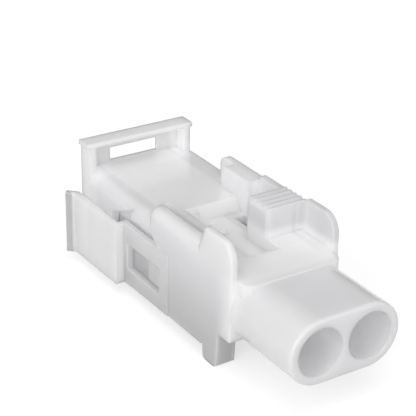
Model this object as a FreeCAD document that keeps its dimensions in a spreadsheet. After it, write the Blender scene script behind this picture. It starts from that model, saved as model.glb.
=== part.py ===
import FreeCAD, Part
import Sketcher
import math
import os

# Two-way plug housing for crimped round terminals, moulded in one piece.
# Frame: the origin is the centre of the mating face, midway between the two bores.
# +X goes to the right seen from the front, +Y goes back along the housing, +Z is up.
# A height is measured from the bore axes, a station along Y from the mating face.

NODE = "housing"
RIDGES = 4
TOUCH = 1e-4
DIAGONAL = math.sqrt(0.5)

SIZES = [
    # nose and bores
    ("bore_pitch", 6.35, "distance between the two bores"),
    ("bore_dia", 5.62, "bore at the mating end"),
    ("bore_depth", 12.5, "length of the wide bore"),
    ("cavity_dia", 4.2, "terminal cavity behind the bore"),
    ("entry_dia", 4.9, "wire entry at the rear"),
    ("entry_depth", 3.0, "depth of the wire entry"),
    ("nose_wall", 1.02, "wall of the nose round the bores"),
    ("nose_length", 9.0, "mating face to the front of the body"),
    ("nose_edge", 0.3, "rounding of the mating face"),
    # body
    ("body_width", 14.1, "width over the side walls"),
    ("body_rear", 43.8, "mating face to the rear face"),
    ("wall", 0.85, "thickness of the side walls"),
    ("deck_height", 4.3, "flat deck above the axes"),
    ("ramp_drop", 0.35, "fall of the deck at its front edge"),
    ("core_depth", 3.4, "underside of the body below the axes"),
    ("skirt_depth", 6.3, "lower edge of the side walls below the axes"),
    ("skirt_start", 16.6, "station where the lower edge begins"),
    ("deck_round", 1.3, "rounding of the left edge of the deck"),
    ("collar_round", 1.0, "rounding of the front corners of the body"),
    ("collar_corner", 2.6, "rounding of the lower corners of the body beside the nose"),
    # cheeks beside the nose root
    ("cheek_start", 10.8, "front edge of the side walls"),
    ("cheek_height", 8.2, "top of the cheeks above the axes"),
    ("cheek_end", 16.0, "rear end of the level top of the cheeks"),
    ("cheek_slope", 1.0, "run of the sloped rear end of the left cheek"),
    ("cheek_round", 2.3, "radius of the front corner of the cheeks"),
    ("cheek_edge", 0.25, "rounding of the outer edges of the cheeks"),
    # left shoulder, from the cheek to the flat deck
    ("shoulder_height", 5.7, "top of the left shoulder above the axes"),
    ("shoulder_width", 1.75, "width of the left shoulder"),
    ("shoulder_round", 1.1, "rounding of its outer top edge"),
    # well in the deck
    ("well_front", 14.3, "front lip of the well"),
    ("well_rear", 27.3, "front face of the flat deck"),
    ("well_left", 2.5, "left edge of the well from the middle"),
    ("well_floor", 2.75, "floor of the well above the axes"),
    ("ramp_run", 0.9, "run of the sloped rear wall of the well"),
    ("ramp_left", 1.0, "left end of the sloped wall from the middle"),
    ("wedge_out", 0.8, "reach of the wedge in the rear left corner of the well"),
    ("wedge_drop", 0.2, "top of the wedge below the deck"),
    ("lance_front", 22.4, "front end of the openings over the cavities"),
    ("lance_rear", 25.3, "rear end of the openings over the cavities"),
    ("lance_width", 1.5, "width of the openings over the cavities"),
    ("lance_shift", 0.65, "centre of an opening outward of the cavity axis"),
    ("core_slot", 0.9, "width of the slot between the cavities"),
    ("core_slot_floor", 0.9, "floor of that slot above the axes"),
    ("lip_round", 0.35, "rounding of the front lip of the well"),
    # slot beside the well
    ("slot_left", 4.1, "left edge of the slot from the middle"),
    ("slot_width", 1.0, "width of the slot"),
    ("slot_front", 18.2, "front end of the slot"),
    ("slot_rear", 29.8, "rear end of the slot"),
    ("slot_floor", 2.5, "floor of the slot above the axes"),
    # ridged block
    ("block_left", 1.45, "left face of the block from the middle"),
    ("block_front", 16.5, "front face of the block"),
    ("block_rear", 20.4, "rear face of the block"),
    ("block_height", 7.9, "top of the block above the axes"),
    ("block_inset", 0.4, "block short of the outer side"),
    ("block_round", 0.55, "rounding of the front edge and the inner top edge of the block"),
    ("corner_round", 0.5, "rounding between block and cheek"),
    ("ridge_pitch", 0.92, "distance between the grooves of the block"),
    ("ridge_width", 0.7, "width of a groove"),
    ("ridge_depth", 0.24, "depth of a groove"),
    ("ridge_first", 0.3, "front face of the block to the first groove"),
    # rail
    ("rail_left", 4.7, "left face of the rail from the middle"),
    ("rail_front", 25.0, "front face of the rail"),
    ("rail_rear", 33.2, "rear end of the rail"),
    ("rail_short", 2.3, "inner part of the rail short of its rear end"),
    ("rail_height", 7.0, "top of the rail above the axes"),
    ("rail_round", 1.1, "radius of the rear top corner of the rail"),
    ("right_wall", 7.4, "top of the right wall between block and rail"),
    # hood at the rear
    ("hood_depth", 2.3, "hood along the housing"),
    ("hood_height", 8.0, "top of the hood above the axes"),
    ("hood_wall", 0.85, "thickness of the pillars"),
    ("hood_bar", 0.55, "thickness of the top bar"),
    ("hood_lip", 0.3, "overhang of the top bar beyond the pillars"),
    ("hood_round", 0.25, "rounding of the front edges of the top bar"),
    ("hood_web", 0.45, "thickness of the rear web"),
    ("window_left", 3.3, "left edge of the window from the middle"),
    ("window_right", 3.35, "right edge of the window from the middle"),
    ("window_base", 4.5, "lower edge of the window above the axes"),
    ("window_top", 6.2, "upper edge of the window above the axes"),
    # latch arms in the side walls
    ("arm_front", 23.4, "front end of the arm, where it joins the wall"),
    ("arm_step", 33.1, "station of the outward step"),
    ("arm_flare", 43.1, "station where the tail turns outward"),
    ("arm_tail", 0.9, "reach of the tail outward and back"),
    ("arm_jog", 1.2, "outward step of the rear pad"),
    ("arm_proud", 0.12, "arm proud of the side wall"),
    ("arm_wall", 0.7, "thickness of the arm"),
    ("arm_gap", 0.4, "clearance behind the arm"),
    ("arm_top", 1.3, "top of the arm above the axes"),
    ("arm_base", 6.75, "lower edge of the arm below the axes, at its tail"),
    ("arm_rise", 0.45, "rise of the lower edge of the arm towards its front"),
    ("arm_post", 1.8, "solid part of the arm in front of its opening"),
    ("pane_rear", 32.4, "rear edge of the opening in the arm"),
    ("pane_top", 1.1, "upper edge of the opening below the axes"),
    ("pane_base", 4.4, "lower edge of the opening below the axes"),
    ("rib_front", 26.0, "front face of the stop rib behind the arm"),
    ("rib_rear", 28.2, "rear face of the stop rib"),
    ("rib_inset", 0.3, "rib short of the side of the body"),
    ("backing_wall", 0.8, "thickness of the wall behind the arm"),
    ("backing_depth", 5.7, "lower edge of the wall behind the arm, below the axes"),
    # opening above the arm
    ("notch_low", 2.3, "upper edge of the opening above the axes"),
    ("notch_high", 3.7, "peak of the opening above the axes"),
    ("notch_peak", 31.3, "station of the peak"),
    ("notch_rear", 36.4, "rear end of the opening"),
    ("notch_front", 26.1, "front end of the opening"),
    # legs
    ("leg_front", 13.1, "front face of the leg"),
    ("leg_length", 3.1, "leg along the housing"),
    ("leg_width", 2.45, "leg across the housing"),
    ("leg_depth", 7.9, "tip of the leg below the axes"),
    ("leg_taper", 0.25, "taper of each long face of the leg"),
    ("leg_round", 0.6, "radius of the tip of the leg"),
]


class Size:
    """A length with its formula in the sheet and its value now."""

    def __init__(self, text, value):
        self.text = text
        self.value = value

    def _join(self, sign, other, value):
        text = other.text if isinstance(other, Size) else repr(other)
        return Size("(%s %s %s)" % (self.text, sign, text), value)

    def __add__(self, other):
        return self._join("+", other, self.value + number(other))

    def __sub__(self, other):
        return self._join("-", other, self.value - number(other))

    def __mul__(self, other):
        return self._join("*", other, self.value * number(other))

    def __truediv__(self, other):
        return self._join("/", other, self.value / number(other))

    def __neg__(self):
        return Size("(0 - %s)" % self.text, -self.value)


def number(size):
    return size.value if isinstance(size, Size) else float(size)


doc = FreeCAD.newDocument("plug_housing")
sheet = doc.addObject("Spreadsheet::Sheet", "sizes")
S = {}
for row, (alias, value, meaning) in enumerate(SIZES, start=1):
    sheet.set("A%d" % row, meaning)
    sheet.set("B%d" % row, str(value))
    sheet.setAlias("B%d" % row, alias)
    S[alias] = Size("sizes.%s" % alias, value)
doc.recompute()

body = doc.addObject("PartDesign::Body", NODE)
body.Label = NODE
PLANES = {plane.Role: plane for plane in body.Origin.OriginFeatures}
AXIS_OF = {"XY_Plane": 1, "YZ_Plane": 1, "XZ_Plane": -1}


def new_sketch(name, plane, start):
    """A sketch on a plane of the body, moved to a station along the plane's own axis."""
    sketch = body.newObject("Sketcher::SketchObject", name)
    sketch.AttachmentSupport = [(PLANES[plane], "")]
    sketch.MapMode = "FlatFace"
    if start is not None:
        place = start if AXIS_OF[plane] > 0 else -start
        sketch.setExpression("AttachmentOffset.Base.z", place.text)
    return sketch


def bind(sketch, constraint, size):
    index = sketch.addConstraint(constraint)
    sketch.setExpression("Constraints[%d]" % index, size.text)


def fix(sketch, geometry, point, u, v):
    if u is not None:
        bind(sketch, Sketcher.Constraint("DistanceX", -1, 1, geometry, point, u.value), u)
    if v is not None:
        bind(sketch, Sketcher.Constraint("DistanceY", -1, 1, geometry, point, v.value), v)


def outline(sketch, corners):
    """A closed outline through corners (u, v) or (u, v, radius), each tied to its sizes."""
    count = len(corners)
    place = [FreeCAD.Vector(c[0].value, c[1].value, 0) for c in corners]
    ends = []
    arcs = {}
    for i in range(count):
        here = place[i]
        if len(corners[i]) < 3:
            ends.append((here, here))
            continue
        back = (place[i - 1] - here).normalize()
        ahead = (place[(i + 1) % count] - here).normalize()
        half = back.getAngle(ahead) / 2
        radius = corners[i][2].value
        reach = radius / math.tan(half)
        middle = (back + ahead).normalize()
        centre = here + middle * (radius / math.sin(half))
        first = here + back * reach
        last = here + ahead * reach
        ends.append((first, last))
        turn = back.cross(ahead).z
        start, stop = (last, first) if turn > 0 else (first, last)
        angle = [math.atan2(p.y - centre.y, p.x - centre.x) for p in (start, stop)]
        if angle[1] < angle[0]:
            angle[1] += 2 * math.pi
        arcs[i] = (centre, radius, angle, 2 if turn > 0 else 1)
    lines = []
    for i in range(count):
        segment = Part.LineSegment(ends[i][1], ends[(i + 1) % count][0])
        lines.append(sketch.addGeometry(segment, False))
    for i in range(count):
        before, after = lines[i - 1], lines[i]
        u, v = corners[i][0], corners[i][1]
        past = corners[i - 1]
        if i > 0 and past[0].text == u.text:
            sketch.addConstraint(Sketcher.Constraint("Vertical", before))
            u = None
        if i > 0 and past[1].text == v.text:
            sketch.addConstraint(Sketcher.Constraint("Horizontal", before))
            v = None
        if i not in arcs:
            sketch.addConstraint(Sketcher.Constraint("Coincident", before, 2, after, 1))
            fix(sketch, after, 1, u, v)
            continue
        centre, radius, angle, near = arcs[i]
        circle = Part.Circle(centre, FreeCAD.Vector(0, 0, 1), radius)
        arc = sketch.addGeometry(Part.ArcOfCircle(circle, angle[0], angle[1]), False)
        corner = sketch.addGeometry(Part.Point(place[i]), True)
        sketch.addConstraint(Sketcher.Constraint("Tangent", before, 2, arc, near))
        sketch.addConstraint(Sketcher.Constraint("Tangent", after, 1, arc, 3 - near))
        sketch.addConstraint(Sketcher.Constraint("PointOnObject", corner, 1, before))
        sketch.addConstraint(Sketcher.Constraint("PointOnObject", corner, 1, after))
        fix(sketch, corner, 1, u, v)
        bind(sketch, Sketcher.Constraint("Radius", arc, radius), corners[i][2])


def circle(sketch, u, diameter):
    """A circle centred on the horizontal axis of the sketch."""
    centre = FreeCAD.Vector(u.value, 0, 0)
    shape = Part.Circle(centre, FreeCAD.Vector(0, 0, 1), diameter.value / 2)
    index = sketch.addGeometry(shape, False)
    sketch.addConstraint(Sketcher.Constraint("PointOnObject", index, 3, -1))
    fix(sketch, index, 3, u, None)
    bind(sketch, Sketcher.Constraint("Diameter", index, diameter.value), diameter)


def obround(sketch, reach, radius):
    """Two half circles at either side of the middle, joined by straight lines."""
    c, r = reach.value, radius.value
    up = FreeCAD.Vector(0, 0, 1)
    quarter = math.pi / 2
    right = Part.ArcOfCircle(Part.Circle(FreeCAD.Vector(c, 0, 0), up, r), -quarter, quarter)
    left = Part.ArcOfCircle(Part.Circle(FreeCAD.Vector(-c, 0, 0), up, r), quarter, 3 * quarter)
    top = Part.LineSegment(FreeCAD.Vector(-c, r, 0), FreeCAD.Vector(c, r, 0))
    base = Part.LineSegment(FreeCAD.Vector(c, -r, 0), FreeCAD.Vector(-c, -r, 0))
    r_arc, l_arc, t_line, b_line = [sketch.addGeometry(g, False) for g in (right, left, top, base)]
    sketch.addConstraint(Sketcher.Constraint("Tangent", t_line, 2, r_arc, 2))
    sketch.addConstraint(Sketcher.Constraint("Tangent", b_line, 1, r_arc, 1))
    sketch.addConstraint(Sketcher.Constraint("Tangent", b_line, 2, l_arc, 2))
    sketch.addConstraint(Sketcher.Constraint("Tangent", t_line, 1, l_arc, 1))
    sketch.addConstraint(Sketcher.Constraint("Horizontal", t_line))
    sketch.addConstraint(Sketcher.Constraint("Equal", r_arc, l_arc))
    sketch.addConstraint(Sketcher.Constraint("PointOnObject", r_arc, 3, -1))
    fix(sketch, r_arc, 3, reach, None)
    fix(sketch, l_arc, 3, -reach, None)
    bind(sketch, Sketcher.Constraint("Radius", r_arc, r), radius)


def settle(feature, grows):
    """Rebuild after a feature and see that it added or took away material."""
    before = settle.volume
    doc.recompute()
    if "Invalid" in feature.State or "Error" in feature.State or feature.Shape.isNull():
        raise RuntimeError("%s failed" % feature.Name)
    volume = feature.Shape.Volume
    if (volume - before) * grows <= 0:
        raise RuntimeError("%s points the wrong way" % feature.Name)
    settle.volume = volume
    return feature


settle.volume = 0.0


def pad(name, plane, start, end, *outlines):
    sketch = new_sketch(name + "_outline", plane, start)
    for corners in outlines:
        outline(sketch, corners)
    feature = body.newObject("PartDesign::Pad", name)
    feature.Profile = sketch
    feature.Reversed = AXIS_OF[plane] < 0
    feature.setExpression("Length", (end - start).text)
    return settle(feature, 1)


def pocket(name, plane, start, end, *outlines):
    sketch = new_sketch(name + "_outline", plane, start)
    for corners in outlines:
        outline(sketch, corners)
    feature = body.newObject("PartDesign::Pocket", name)
    feature.Profile = sketch
    feature.Reversed = AXIS_OF[plane] > 0
    feature.setExpression("Length", (end - start).text)
    return settle(feature, -1)


def mirrored(name, originals, grows):
    """The same features again on the right side."""
    feature = body.newObject("PartDesign::Mirrored", name)
    feature.Originals = originals
    feature.MirrorPlane = (PLANES["YZ_Plane"], [""])
    body.Tip = feature
    return settle(feature, grows)


def box(u0, v0, u1, v1):
    return [(u0, v0), (u1, v0), (u1, v1), (u0, v1)]


half = S["body_width"] / 2
inner = half - S["wall"]
rear = S["body_rear"]
deck = S["deck_height"]
axis = S["bore_pitch"] / 2
nose_radius = S["bore_dia"] / 2 + S["nose_wall"]
pane_front = S["arm_front"] + S["arm_post"]
recess_floor = S["arm_wall"] + S["arm_gap"] - half
cheek_foot = S["cheek_end"] + S["cheek_slope"]


def circles(kind, name, start, end, diameter):
    """Both bores, cavities, entries or barrels at once."""
    sketch = new_sketch(name + "_outline", "XZ_Plane", start)
    circle(sketch, -axis, diameter)
    circle(sketch, axis, diameter)
    feature = body.newObject("PartDesign::" + kind, name)
    feature.Profile = sketch
    feature.Reversed = kind == "Pad"
    length = end if start is None else end - start
    feature.setExpression("Length", length.text)
    return settle(feature, 1 if kind == "Pad" else -1)


def edges(test):
    """Names of the edges of the body whose box passes the test."""
    shape = body.Tip.Shape
    return ["Edge%d" % n for n, e in enumerate(shape.Edges, start=1) if test(e.BoundBox)]


def near(a, size):
    return abs(a - number(size)) < TOUCH


def fillet(name, radius, test):
    names = edges(test)
    if not names:
        raise RuntimeError("%s finds no edge" % name)
    base = body.Tip
    feature = body.newObject("PartDesign::Fillet", name)
    feature.Base = (base, names)
    feature.setExpression("Radius", radius.text)
    return feature


# The core between the side walls, with a deck that falls a little towards the nose.
pad("core", "YZ_Plane", -inner, inner, [
    (S["nose_length"], -S["core_depth"]),
    (rear, -S["core_depth"]),
    (rear, deck),
    (S["well_front"], deck),
    (S["nose_length"], deck - S["ramp_drop"]),
])

# In front of the side walls its corners are rounded, and the lower ones lie inside the nose.
fillet("collar", S["collar_round"], lambda b: (
    near(b.YMin, S["nose_length"]) and near(b.YMax, S["nose_length"]) and b.XLength < TOUCH))
settle(body.Tip, -1)
low = -S["core_depth"]
margin = S["collar_corner"]
collar_cut = pocket("collar_cut", "XZ_Plane", S["nose_length"], S["cheek_start"], [
    (-inner - margin, low - margin),
    (margin * 2 - inner, low - margin),
    (margin * 2 - inner, low),
    (-inner, low, margin),
    (-inner, low + margin * 2),
    (-inner - margin, low + margin * 2),
])
mirrored("right_collar_cut", [collar_cut], -1)

# The nose, one round-ended section over both bores.
nose_outline = new_sketch("nose_outline", "XZ_Plane", None)
obround(nose_outline, axis, nose_radius)
nose = body.newObject("PartDesign::Pad", "nose")
nose.Profile = nose_outline
nose.Reversed = True
nose.setExpression("Length", S["cheek_start"].text)
settle(nose, 1)
fillet("nose_rim", S["nose_edge"], lambda b: near(b.YMax, 0) and near(b.YMin, 0))
settle(body.Tip, -1)

# Side walls: skirt below, cheek in front, each with its own upper edge.
lower_edge = [
    (S["cheek_start"], -S["core_depth"]),
    (S["leg_front"] + S["leg_taper"], -S["core_depth"]),
    (S["skirt_start"] - S["leg_taper"], -S["skirt_depth"]),
    (rear, -S["skirt_depth"]),
    (rear, deck),
]
cheek = [
    (S["cheek_end"], S["cheek_height"]),
    (S["cheek_start"], S["cheek_height"], S["cheek_round"]),
]
pad("left_wall", "YZ_Plane", -half, -inner, lower_edge + [
    (S["well_rear"], deck),
    (S["well_rear"], S["shoulder_height"]),
    (cheek_foot, S["shoulder_height"]),
] + cheek)
pad("shoulder", "YZ_Plane", -inner, S["shoulder_width"] - half, box(
    cheek_foot, deck, S["well_rear"], S["shoulder_height"]))


def rail_end(end):
    """The outline of the rail from its rear end to its front."""
    return [
        (end, deck),
        (end, S["rail_height"], S["rail_round"]),
        (S["rail_front"], S["rail_height"]),
    ]


pad("right_wall", "YZ_Plane", inner, half, lower_edge + rail_end(S["rail_rear"]) + [
    (S["rail_front"], S["right_wall"]),
    (S["cheek_end"] + (S["cheek_height"] - S["right_wall"]), S["right_wall"]),
] + cheek)



def left_rounding(name, start, end, height, radius):
    """Round the outer top edge of the left side from one station to another."""
    pocket(name, "XZ_Plane", start, end, [
        (-half - radius, height - radius * 2),
        (-half, height - radius * 2),
        (-half, height, radius),
        (radius * 2 - half, height),
        (radius * 2 - half, height + radius),
        (-half - radius, height + radius),
    ])


# Round the long left edge of shoulder and deck before the hood stands on it.
left_rounding("shoulder_edge", cheek_foot, S["well_rear"], S["shoulder_height"], S["shoulder_round"])
left_rounding("deck_edge", S["well_rear"], rear, deck, S["deck_round"])
fillet("cheek_edges", S["cheek_edge"], lambda b: (
    b.XLength < TOUCH and near(abs(b.XMin), half) and near(b.ZMax, S["cheek_height"])
    and b.YMax < number(S["cheek_end"]) + TOUCH))
settle(body.Tip, -1)

# The rail on the right of the deck.
rail_step = S["rail_rear"] - S["rail_short"]
pad("rail", "YZ_Plane", S["rail_left"], inner, rail_end(rail_step) + [(S["rail_front"], deck)])

# The well in the deck: narrow beside the block, wide behind it, narrow at the rail.
pocket("well", "XY_Plane", S["well_floor"], deck, [
    (-S["well_left"], S["well_front"]),
    (S["block_left"], S["well_front"]),
    (S["block_left"], S["block_rear"]),
    (inner, S["block_rear"]),
    (inner, S["rail_front"]),
    (S["rail_left"], S["rail_front"]),
    (S["rail_left"], S["well_rear"]),
    (-S["well_left"], S["well_rear"]),
])
lip = S["lip_round"]
pocket("well_lip", "YZ_Plane", -S["well_left"], S["block_left"], [
    (S["well_front"] - lip * 2, deck),
    (S["well_front"], deck, lip),
    (S["well_front"], deck - lip * 2),
    (S["well_front"] + lip, deck - lip * 2),
    (S["well_front"] + lip, deck + lip),
    (S["well_front"] - lip * 2, deck + lip),
])
pad("well_ramp", "YZ_Plane", -S["ramp_left"], S["rail_left"], [
    (S["well_rear"] - S["ramp_run"], S["well_floor"]),
    (S["well_rear"], S["well_floor"]),
    (S["well_rear"], deck),
])
pad("well_wedge", "XY_Plane", S["well_floor"], deck - S["wedge_drop"], [
    (-S["well_left"], S["well_rear"]),
    (-S["ramp_left"], S["well_rear"] - S["wedge_out"]),
    (-S["ramp_left"], S["well_rear"]),
])
core_slot = S["core_slot"] / 2
pocket("cored_slot", "XY_Plane", S["core_slot_floor"], S["well_floor"], box(
    -core_slot, S["lance_front"], core_slot, S["lance_rear"]))
pocket("slot", "XY_Plane", S["slot_floor"], deck, box(
    -S["slot_left"], S["slot_front"], S["slot_width"] - S["slot_left"], S["slot_rear"]))

# The ridged block: a box with a row of grooves across its top.
pad("block", "YZ_Plane", S["block_left"], half - S["block_inset"], box(
    S["block_front"], deck, S["block_rear"], S["block_height"]))
fillet("block_edges", S["block_round"], lambda b: near(b.XMax, S["block_left"]) and (
    near(b.XMin, S["block_left"]) and near(b.ZMax, S["block_height"]) and (
        near(b.YMax, S["block_front"]) or near(b.ZMin, S["block_height"]))))
settle(body.Tip, -1)
fillet("block_corner", S["corner_round"], lambda b: (
    near(b.XMin, inner) and near(b.XMax, inner) and b.ZMin > number(deck) - TOUCH
    and near(b.YMin, S["block_front"]) and near(b.YMax, S["block_front"])))
settle(body.Tip, 1)
groove_front = S["block_front"] + S["ridge_first"]
groove = pocket("ridge_groove", "YZ_Plane", S["block_left"], half - S["block_inset"], [
    (groove_front, S["block_height"]),
    (groove_front + S["ridge_width"] / 2, S["block_height"] - S["ridge_depth"]),
    (groove_front + S["ridge_width"], S["block_height"]),
])
ridges = body.newObject("PartDesign::LinearPattern", "ridges")
ridges.Originals = [groove]
ridges.Direction = (PLANES["Y_Axis"], [""])
ridges.Occurrences = RIDGES
ridges.setExpression("Length", (S["ridge_pitch"] * (RIDGES - 1)).text)
body.Tip = ridges
settle(ridges, -1)

# Bores from the front, narrower cavities behind them, wire entries at the rear.
circles("Pocket", "bores", None, S["bore_depth"], S["bore_dia"])
circles("Pocket", "cavities", S["bore_depth"], rear, S["cavity_dia"])
circles("Pocket", "entries", rear - S["entry_depth"], rear, S["entry_dia"])

# An opening from the well into each cavity, where the terminal locks.
lance = S["lance_width"] / 2
lance_axis = axis + S["lance_shift"]
opening = pocket("lance_opening", "XY_Plane", S["cavity_dia"] / 4, S["well_floor"], box(
    -lance_axis - lance, S["lance_front"], lance - lance_axis, S["lance_rear"]))
mirrored("right_lance_opening", [opening], -1)

# The hood: a rear web with a window, two pillars and a top bar.
pad("hood_web", "XZ_Plane", rear - S["hood_web"], rear, box(
    -half, deck - S["deck_round"], half, S["hood_height"]), box(
    -S["window_left"], S["window_base"], S["window_right"], S["window_top"]))
pillar = pad("pillar", "YZ_Plane", -half, S["hood_wall"] - half, box(
    rear - S["hood_depth"], deck - S["deck_round"], rear, S["hood_height"]))
mirrored("right_pillar", [pillar], 1)
pad("hood_bar", "XZ_Plane", rear - S["hood_depth"], rear, box(
    -half - S["hood_lip"], S["hood_height"] - S["hood_bar"],
    half + S["hood_lip"], S["hood_height"]))
hood_front = rear - S["hood_depth"]
fillet("hood_edge", S["hood_round"], lambda b: (
    near(b.YMin, hood_front) and near(b.YMax, hood_front) and near(b.ZMin, S["hood_height"])))
settle(body.Tip, -1)

# A wall under the body, behind each latch arm.
backing = pad("backing", "YZ_Plane", -inner, recess_floor + S["backing_wall"], box(
    S["arm_front"], -S["backing_depth"],
    S["notch_rear"] + S["arm_post"], -S["core_depth"]))
mirrored("right_backing", [backing], 1)

# Recess in the side wall that frees the latch arm, open below, with a notch above.
recess = pocket("arm_recess", "YZ_Plane", -half, recess_floor, [
    (pane_front, -S["arm_base"]),
    (S["notch_rear"], -S["arm_base"]),
    (S["notch_rear"], S["arm_top"]),
    (S["notch_peak"], S["notch_high"]),
    (S["notch_peak"] + S["wall"], S["notch_low"]),
    (S["notch_front"] + S["wall"], S["notch_low"]),
    (S["notch_front"], S["arm_top"]),
    (pane_front, S["arm_top"]),
])
mirrored("right_recess", [recess], -1)

# The latch arm in plan: it joins the wall in front, steps outward and ends in a tail.
outer = -half - S["arm_proud"]
outer_rear = outer - S["arm_jog"]
slant = S["arm_wall"] * DIAGONAL
arm = pad("arm", "XY_Plane", -S["arm_base"], S["arm_top"], [
    (outer, S["arm_front"]),
    (outer, S["arm_step"]),
    (outer_rear, S["arm_step"]),
    (outer_rear, S["arm_flare"]),
    (outer_rear - S["arm_tail"], S["arm_flare"] + S["arm_tail"]),
    (outer_rear - S["arm_tail"] + slant, S["arm_flare"] + S["arm_tail"] + slant),
    (outer_rear + S["arm_wall"], S["arm_flare"] + slant * 2 - S["arm_wall"]),
    (outer_rear + S["arm_wall"], S["arm_step"] + S["arm_wall"]),
    (outer + S["arm_wall"], S["arm_step"] + S["arm_wall"]),
    (outer + S["arm_wall"], S["arm_front"]),
])
mirrored("right_arm", [arm], 1)
reach = S["arm_tail"] + S["arm_gap"] - outer_rear
tail_end = S["arm_flare"] + slant * 2 + S["arm_tail"]
pocket("arm_lower_edge", "YZ_Plane", -reach, reach, [
    (S["arm_front"] - S["arm_gap"], -S["arm_base"] - S["arm_gap"]),
    (tail_end, -S["arm_base"] - S["arm_gap"]),
    (tail_end, -S["arm_base"]),
    (S["arm_front"], S["arm_rise"] - S["arm_base"]),
    (S["arm_front"] - S["arm_gap"], S["arm_rise"] - S["arm_base"]),
])
pane = pocket("pane", "YZ_Plane", outer, outer + S["arm_wall"] + S["arm_gap"] / 2, box(
    pane_front, -S["pane_base"], S["pane_rear"], -S["pane_top"]))
mirrored("right_pane", [pane], -1)
rib = pad("stop_rib", "YZ_Plane", S["rib_inset"] - half, recess_floor, box(
    S["rib_front"], S["arm_gap"] - S["pane_base"],
    S["rib_rear"], -S["pane_top"] - S["arm_gap"]))
mirrored("right_stop_rib", [rib], 1)

# Legs under the front of the side walls.
leg = pad("leg", "YZ_Plane", -half, S["leg_width"] - half, [
    (S["leg_front"], -S["core_depth"]),
    (S["leg_front"] + S["leg_taper"], -S["leg_depth"], S["leg_round"]),
    (S["leg_front"] + S["leg_length"] - S["leg_taper"], -S["leg_depth"], S["leg_round"]),
    (S["leg_front"] + S["leg_length"], -S["core_depth"]),
])
mirrored("right_leg", [leg], 1)

doc.recompute()
for item in doc.Objects:
    if "Invalid" in item.State or "Error" in item.State:
        raise RuntimeError("%s is in state %s" % (item.Name, item.State))
shape = body.Shape
if shape.isNull() or not shape.isValid() or len(shape.Solids) != 1:
    raise RuntimeError("the housing is not one valid solid")
os.makedirs("parts", exist_ok=True)
shape.exportStep("parts/%s.step" % body.Label)
print("housing", shape.BoundBox, "volume", round(shape.Volume, 1), "mm3")
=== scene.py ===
import math

import bpy
from mathutils import Matrix, Vector


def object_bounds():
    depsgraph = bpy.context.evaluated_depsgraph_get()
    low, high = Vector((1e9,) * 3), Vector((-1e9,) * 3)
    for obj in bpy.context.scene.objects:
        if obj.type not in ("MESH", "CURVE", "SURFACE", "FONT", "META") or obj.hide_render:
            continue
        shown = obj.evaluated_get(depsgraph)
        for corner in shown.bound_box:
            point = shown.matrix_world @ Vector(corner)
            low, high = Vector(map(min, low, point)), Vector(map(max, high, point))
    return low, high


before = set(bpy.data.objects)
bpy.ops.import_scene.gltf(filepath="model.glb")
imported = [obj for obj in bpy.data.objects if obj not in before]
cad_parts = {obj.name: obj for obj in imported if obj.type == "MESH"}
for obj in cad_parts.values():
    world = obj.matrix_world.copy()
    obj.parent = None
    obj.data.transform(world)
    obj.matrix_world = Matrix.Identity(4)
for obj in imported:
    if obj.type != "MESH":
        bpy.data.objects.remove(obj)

cad_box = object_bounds()
MM = 0.001
WHITE = (1.0, 1.0, 1.0, 1.0)


# Nodes

def node(tree, kind, *inputs, **settings):
    """Make a node. The inputs go to its sockets in order, and the settings to the property or
    the socket of their name, with a space for each underscore in a socket's name. An output
    given as a value is linked, and anything else is set."""
    made = tree.nodes.new(kind)
    values = list(zip(made.inputs, inputs))
    for name, value in settings.items():
        socket_name = name.replace("_", " ")
        if socket_name in made.inputs:
            values.append((made.inputs[socket_name], value))
        else:
            setattr(made, name, value)
    for socket, value in values:
        if isinstance(value, bpy.types.NodeSocket):
            tree.links.new(value, socket)
        else:
            socket.default_value = value
    return made


def maths(tree, operation, *terms, **settings):
    return node(tree, "ShaderNodeMath", *terms, operation=operation, **settings).outputs["Value"]


def vectors(tree, operation, *terms, output="Vector", **settings):
    return node(tree, "ShaderNodeVectorMath", *terms, operation=operation,
                **settings).outputs[output]


def step(tree, value, band, before, after, smooth=True):
    """A number that goes from before to after while the value crosses the band."""
    return node(tree, "ShaderNodeMapRange", value, *band, before, after,
                interpolation_type="SMOOTHSTEP" if smooth else "LINEAR").outputs["Result"]


def new_material(name):
    material = bpy.data.materials.new(name)
    material.use_nodes = True
    material.node_tree.nodes.clear()
    return material, material.node_tree


# The nylon's colour and skin

NYLON_IOR = 1.53
SCATTER_DEPTH = 0.002
SCATTER_RADIUS = (1.0, 0.98, 1.02)
MOTTLE = {"Scale": 150.0, "Detail": 6.0, "Roughness": 0.62}
MOTTLE_BAND = (0.25, 0.75)
MOTTLE_TINTS = ((0.907, 0.903, 0.919, 1.0), (0.952, 0.948, 0.963, 1.0))
MOTTLE_ROUGHNESS = (0.14, 0.26)
BRIGHTEST = (0.985, 0.985, 0.99)
GRAIN = {"Scale": 2600.0, "Detail": 2.0, "Roughness": 0.6}
GRAIN_STRENGTH, GRAIN_DEPTH = 0.12, 0.00004
EDGE_RADIUS = 0.00018
EDGE_SAMPLES = 6
EDGE_BAND = (0.7, 0.98)

# Painted shade and light: what the colour is multiplied by in a place; below one is painted
# shade, above one is painted light, and the edges' is a painted highlight
NOSE_SHADE = 0.87
BORE_SHADE = 0.88
HOOD_PAINTED_LIGHT = 1.06
ARM_SHADE = 0.98
TAIL_SHADE = 0.56
EDGE_HIGHLIGHT = 1.05

# Painted shade: what is then taken off that multiplier, darker towards the foot of the side
# walls and on what stands on the deck. The last two multiply the second, at the nose and behind
# it.
SKIRT_SHADE = 0.41
UPSTAND_SHADE = 0.14
UPSTAND_AT_NOSE, UPSTAND_BEHIND = 2.1, 1.1

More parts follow.
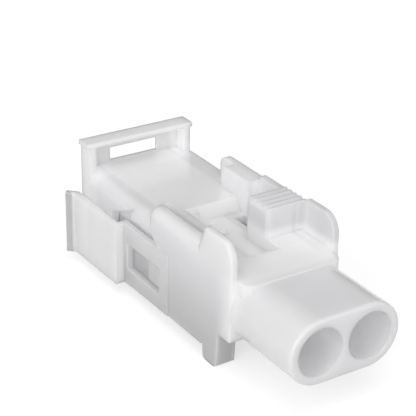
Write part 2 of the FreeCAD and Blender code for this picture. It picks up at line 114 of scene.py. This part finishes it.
# The light that comes through the milky walls, as an emission. It is full where the part's own
# walls leave up to the first share of the view open, within the reach, and it fades to nothing
# at the second. The front bores have more of it. The cavities behind them and the places over
# the core have less.
GLOW = 0.127
GLOW_COLOUR = (1.0, 0.99, 1.0, 1.0)
GLOW_REACH = 0.006
GLOW_SAMPLES = 8
WALLED_IN = (0.1, 0.7)
BORE_GLOW, CAVITY_GLOW = 0.35, -0.6
CORE_GLOW_LOSS = 0.9

# Where the painted shade and light change, in metres of the part's frame. Along Y:
NOSE_ROOT = (0.0085, 0.0105)
BODY_FRONT = (0.010, 0.014)
NOSE_TO_BLOCK = (0.010, 0.020)
BORE_END = (0.0120, 0.0135)
MIDDLE = (0.022, 0.026)
HOOD_FRONT = (0.0395, 0.0405)
# Along X:
LEFT_WALL = (-0.0058, -0.0052)
# Away from the middle plane, to either side:
SIDE_WALL = (0.0044, 0.0052)
CORE_SIDE = (0.0050, 0.0054)
ARM_PLATE = (0.0071, 0.0075)
TAIL_PLATE = (0.0085, 0.0088)
BORE_AXIS = 0.003175
# Along Z:
SIDE_HEIGHT = (-0.005, 0.0078)
CORE_TOP = (0.0020, 0.0025)
ABOVE_DECK = (0.0044, 0.0058)
# Away from the axis of the nearer bore:
BORE_WALL = (0.00285, 0.0030)


def nylon():
    """Natural moulded nylon: milky, a little glossy, with a faint mottle and a fine skin, and
    with painted shade and painted highlights by place.
    """
    material, tree = new_material("milky_nylon")

    def product(*factors):
        result = factors[0]
        for factor in factors[1:]:
            result = maths(tree, "MULTIPLY", result, factor)
        return result

    place = node(tree, "ShaderNodeTexCoord").outputs["Object"]
    x, y, z = node(tree, "ShaderNodeSeparateXYZ", place).outputs
    aside = maths(tree, "ABSOLUTE", x)
    from_axis = node(tree, "ShaderNodeCombineXYZ", maths(tree, "SUBTRACT", aside, BORE_AXIS), z)
    from_axis = vectors(tree, "LENGTH", from_axis.outputs["Vector"], output="Value")

    # Painted shade and light by place: darker nose, bores, arm plates and tails, lighter behind
    # the hood front
    shade_along = product(step(tree, y, NOSE_ROOT, NOSE_SHADE, 1.0),
                    step(tree, from_axis, BORE_WALL, BORE_SHADE, 1.0),
                    step(tree, y, HOOD_FRONT, 1.0, HOOD_PAINTED_LIGHT))
    plate_shade = product(step(tree, aside, ARM_PLATE, 1.0, ARM_SHADE),
                     step(tree, aside, TAIL_PLATE, 1.0, TAIL_SHADE))
    # Painted shade: darker towards the foot of the side walls, and on what stands on the deck in
    # the front half
    skirt_shade = product(step(tree, z, SIDE_HEIGHT, SKIRT_SHADE, 0.0, smooth=False),
                    step(tree, aside, SIDE_WALL, 0.0, 1.0))
    side_shade = product(step(tree, y, BODY_FRONT, 0.0, 1.0),
                        step(tree, aside, ARM_PLATE, 1.0, 0.0), skirt_shade)
    front_half = product(step(tree, y, MIDDLE, 1.0, 0.0),
                         step(tree, y, NOSE_TO_BLOCK, UPSTAND_AT_NOSE, UPSTAND_BEHIND))
    upstand_shade = product(front_half, step(tree, z, ABOVE_DECK, 0.0, UPSTAND_SHADE),
                       step(tree, x, LEFT_WALL, 0.0, 1.0))
    # All the painted shade and light together, as the colour's multiplier
    painted_shading = maths(tree, "SUBTRACT", product(shade_along, plate_shade),
                 maths(tree, "ADD", side_shade, upstand_shade))

    # Edges: rounded shading normals, and a painted highlight that lightens the colour along them
    soft_normal = node(tree, "ShaderNodeBevel", samples=EDGE_SAMPLES,
                       Radius=EDGE_RADIUS).outputs["Normal"]
    true_normal = node(tree, "ShaderNodeNewGeometry").outputs["Normal"]
    agreement = vectors(tree, "DOT_PRODUCT", soft_normal, true_normal, output="Value")
    edge_highlight = step(tree, agreement, EDGE_BAND, EDGE_HIGHLIGHT, 1.0)

    # Mottle in colour and gloss, and the fine grain
    mottle = node(tree, "ShaderNodeTexNoise", Vector=place, **MOTTLE).outputs["Fac"]
    tint = node(tree, "ShaderNodeValToRGB", mottle)
    for stop, position, colour in zip(tint.color_ramp.elements, MOTTLE_BAND, MOTTLE_TINTS):
        stop.position = position
        stop.color = colour
    # The mottled colour with the painted shade, painted light and painted edge highlight
    shaded_colour = vectors(tree, "SCALE", tint.outputs["Color"], Scale=product(painted_shading, edge_highlight))
    grain = node(tree, "ShaderNodeTexNoise", Vector=place, **GRAIN).outputs["Fac"]
    grained = node(tree, "ShaderNodeBump", Strength=GRAIN_STRENGTH, Distance=GRAIN_DEPTH,
                   Height=grain, Normal=soft_normal)

    # Light through the walls
    open_share = node(tree, "ShaderNodeAmbientOcclusion", samples=GLOW_SAMPLES,
                      only_local=True, Distance=GLOW_REACH).outputs["AO"]
    inside = product(step(tree, from_axis, BORE_WALL, 1.0, 0.0),
                     step(tree, y, BORE_END, BORE_GLOW, CAVITY_GLOW))
    over_core = product(step(tree, z, CORE_TOP, 0.0, CORE_GLOW_LOSS),
                        step(tree, aside, CORE_SIDE, 1.0, 0.0))
    share = product(maths(tree, "ADD", inside, 1.0), maths(tree, "SUBTRACT", 1.0, over_core))
    glow = product(step(tree, open_share, WALLED_IN, GLOW, 0.0, smooth=False), share)

    skin = node(tree, "ShaderNodeBsdfPrincipled", IOR=NYLON_IOR, Subsurface_Weight=1.0,
                Subsurface_Scale=SCATTER_DEPTH, Subsurface_Radius=SCATTER_RADIUS,
                Base_Color=vectors(tree, "MINIMUM", shaded_colour, BRIGHTEST),
                Roughness=step(tree, mottle, MOTTLE_BAND, *MOTTLE_ROUGHNESS),
                Emission_Color=GLOW_COLOUR, Emission_Strength=glow,
                Normal=grained.outputs["Normal"])
    node(tree, "ShaderNodeOutputMaterial", Surface=skin.outputs["BSDF"])
    return material


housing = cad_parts["housing"]
milky = nylon()
for slot in housing.material_slots:
    slot.material = milky


# Floor

FLOOR_SIZE = 3.0
FLOOR_COLOUR = (0.6, 0.6, 0.6, 1.0)
FLOOR_LIFT = 0.6


def pale_floor():
    """A matt floor, lifted to white where it is seen, that keeps the object's shadow."""
    material, tree = new_material("white_sweep")
    rays = node(tree, "ShaderNodeLightPath").outputs
    seen = rays["Is Camera Ray"]
    for other in ("Is Glossy Ray", "Is Transmission Ray"):
        seen = maths(tree, "ADD", seen, rays[other], use_clamp=True)
    matt = node(tree, "ShaderNodeBsdfDiffuse", Color=FLOOR_COLOUR).outputs["BSDF"]
    lift = node(tree, "ShaderNodeEmission", Color=WHITE, Strength=FLOOR_LIFT).outputs["Emission"]
    lifted = node(tree, "ShaderNodeAddShader", matt, lift).outputs["Shader"]
    mix = node(tree, "ShaderNodeMixShader", seen, matt, lifted)
    node(tree, "ShaderNodeOutputMaterial", Surface=mix.outputs["Shader"])
    return material


low, high = cad_box
half = FLOOR_SIZE / 2
floor_mesh = bpy.data.meshes.new("floor")
floor_mesh.from_pydata(
    [(x, y, low.z) for x, y in ((-half, -half), (half, -half), (half, half), (-half, half))],
    [], [(0, 1, 2, 3)])
floor = bpy.data.objects.new("floor", floor_mesh)
bpy.context.scene.collection.objects.link(floor)
floor_mesh.materials.append(pale_floor())


# Light

LAMP_DISTANCE, LAMP_SIZE = 0.45, 0.35
# Name, azimuth from -Y towards -X, elevation, watts
LAMPS = (("key", 56.0, 24.0, 0.86),
         ("front", -5.0, 10.0, 0.24),
         ("overhead", 20.0, 80.0, 0.42))
ROOM_LEVEL = 0.545
# The dim zone of the room: its direction, the band of the cosine to it over which the room
# dims, and the level there
DIM_ZONE = (0.491, 0.752, 0.44)
DIM_BAND = (0.55, 0.95)
DIM_LEVEL = 0.12


def softbox(name, azimuth, elevation, power):
    """A square lamp that faces the object from an azimuth and an elevation in degrees."""
    a, e = math.radians(azimuth), math.radians(elevation)
    aim = Vector((-math.sin(a) * math.cos(e), -math.cos(a) * math.cos(e), math.sin(e)))
    lamp = bpy.data.lights.new(name, "AREA")
    lamp.shape = "SQUARE"
    lamp.size = LAMP_SIZE
    lamp.energy = power
    holder = bpy.data.objects.new(name, lamp)
    holder.location = (low + high) / 2 + aim * LAMP_DISTANCE
    holder.rotation_mode = "QUATERNION"
    holder.rotation_quaternion = (-aim).to_track_quat("-Z", "Y")
    bpy.context.scene.collection.objects.link(holder)


def studio():
    """An even room with one dim zone, which the camera sees as white."""
    world = bpy.data.worlds.new("studio")
    world.use_nodes = True
    room = world.node_tree
    way = node(room, "ShaderNodeTexCoord").outputs["Generated"]
    towards_zone = vectors(room, "DOT_PRODUCT", way, DIM_ZONE, output="Value")
    brightness = step(room, towards_zone, DIM_BAND, ROOM_LEVEL, DIM_LEVEL)
    seen = node(room, "ShaderNodeLightPath").outputs["Is Camera Ray"]
    sky = room.nodes["Background"]
    sky.inputs["Color"].default_value = WHITE
    room.links.new(maths(room, "MAXIMUM", brightness, seen), sky.inputs["Strength"])
    return world


for lamp_settings in LAMPS:
    softbox(*lamp_settings)
bpy.context.scene.world = studio()


# Camera at the photograph's viewpoint

AZIMUTH, ELEVATION, ROLL = math.radians(33.11), math.radians(26.11), math.radians(-1.13)
EYE_MM = (-78.14, -93.57, 74.49)
SENSOR = 36.0
FOCAL_PIXELS, FRAME_PIXELS = 1388.7, 416.0
NEAREST, FARTHEST = 0.01, 20.0

ahead = Vector((math.sin(AZIMUTH) * math.cos(ELEVATION),
                math.cos(AZIMUTH) * math.cos(ELEVATION), -math.sin(ELEVATION)))
level = Vector((math.cos(AZIMUTH), -math.sin(AZIMUTH), 0.0))
down = ahead.cross(level)
right = level * math.cos(ROLL) + down * math.sin(ROLL)
up = level * math.sin(ROLL) - down * math.cos(ROLL)
eye = bpy.data.cameras.new("camera")
eye.sensor_width = SENSOR
eye.lens = SENSOR * FOCAL_PIXELS / FRAME_PIXELS
eye.clip_start, eye.clip_end = NEAREST, FARTHEST
camera = bpy.data.objects.new("camera", eye)
turn = Matrix((right, up, -ahead)).transposed().to_4x4()
camera.matrix_world = Matrix.Translation(Vector(EYE_MM) * MM) @ turn
bpy.context.scene.collection.objects.link(camera)
bpy.context.scene.camera = camera
bpy.context.scene.view_settings.view_transform = "Standard"
